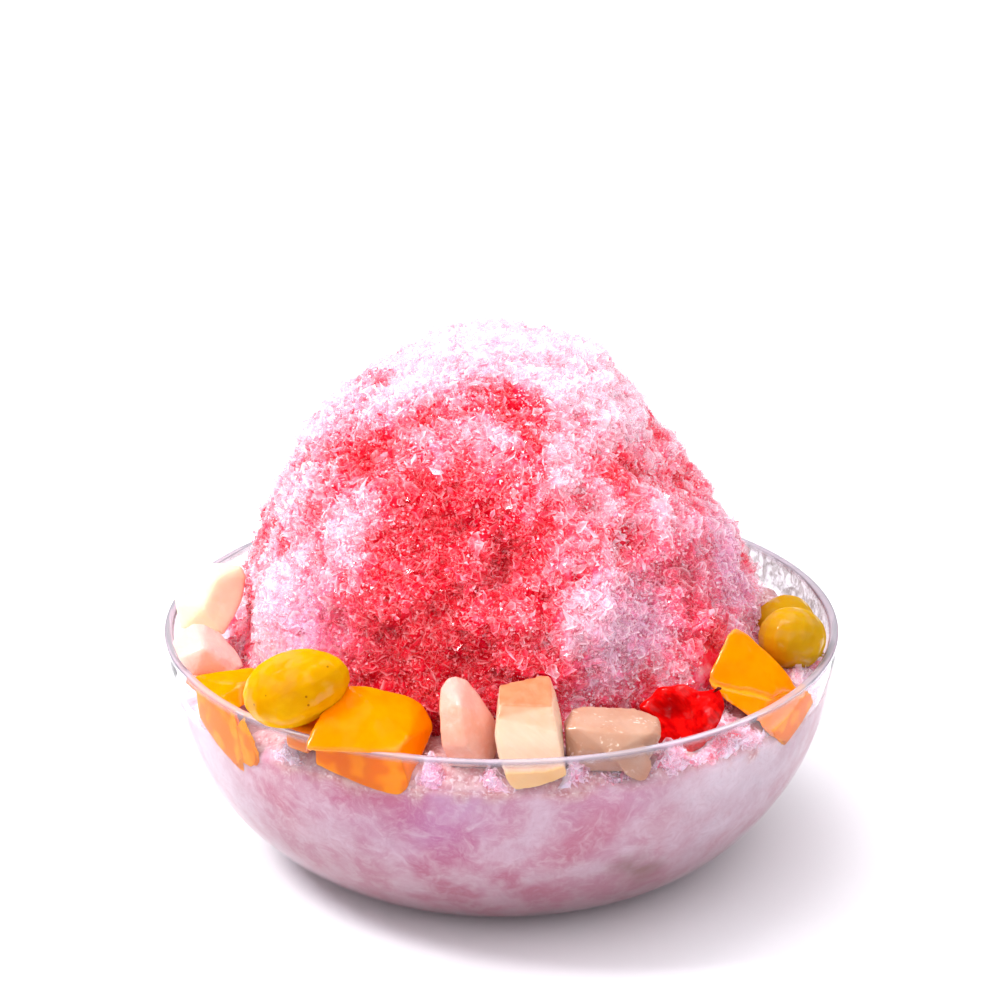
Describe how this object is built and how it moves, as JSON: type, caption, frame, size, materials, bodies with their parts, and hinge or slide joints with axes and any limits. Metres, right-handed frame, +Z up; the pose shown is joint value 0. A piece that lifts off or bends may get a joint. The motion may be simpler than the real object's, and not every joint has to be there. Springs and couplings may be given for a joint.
{
  "type": "bowl of shaved ice",
  "caption": "Flared clear plastic dessert bowl filled with a tall peaked heap of syrup-stained shaved ice, with pieces of cut fruit ringed round the rim; rests on its small flat base.",
  "frame": {"origin": "centre of the bowl's flat underside, which is z = 0 and the plane the bowl stands on", "axes": "+Z up along the bowl's own axis; -Y towards the side with the most fruit, the pictured front; +X to the right as seen from that side"},
  "size_m": [0.15, 0.15, 0.121],
  "materials": {
    "clear_plastic": "clear, smooth and faintly lilac, with a softly rippled wall",
    "shaved_ice": "wet, coarse and sparkling, white to deep syrup red",
    "mango": "wet and glossy, faintly translucent",
    "grape": "wet and glossy, translucent amber",
    "peach": "moist, softly glossy",
    "pear": "moist, softly glossy, faintly translucent",
    "cherry": "wet and glossy, translucent red"
  },
  "bodies": {
    "root": {"bowl": "clear_plastic", "shaved_ice": "shaved_ice", "mango_chunk_left": "mango", "mango_lobe_left": "mango", "mango_sliver": "mango", "mango_cube": "mango", "mango_wedge_right": "mango", "mango_cube_back": "mango", "grape_left": "grape", "grape_right_front": "grape", "grape_right_back": "grape", "grape_back": "grape", "peach_wedge_left": "peach", "peach_wedge_front": "peach", "peach_wedge_back": "peach", "melon_chunk": "pear", "pear_block_front": "pear", "pear_block_right": "pear", "pear_block_back": "pear", "cherry_half": "cherry", "cherry_half_back": "cherry"}
  },
  "joints": []
}
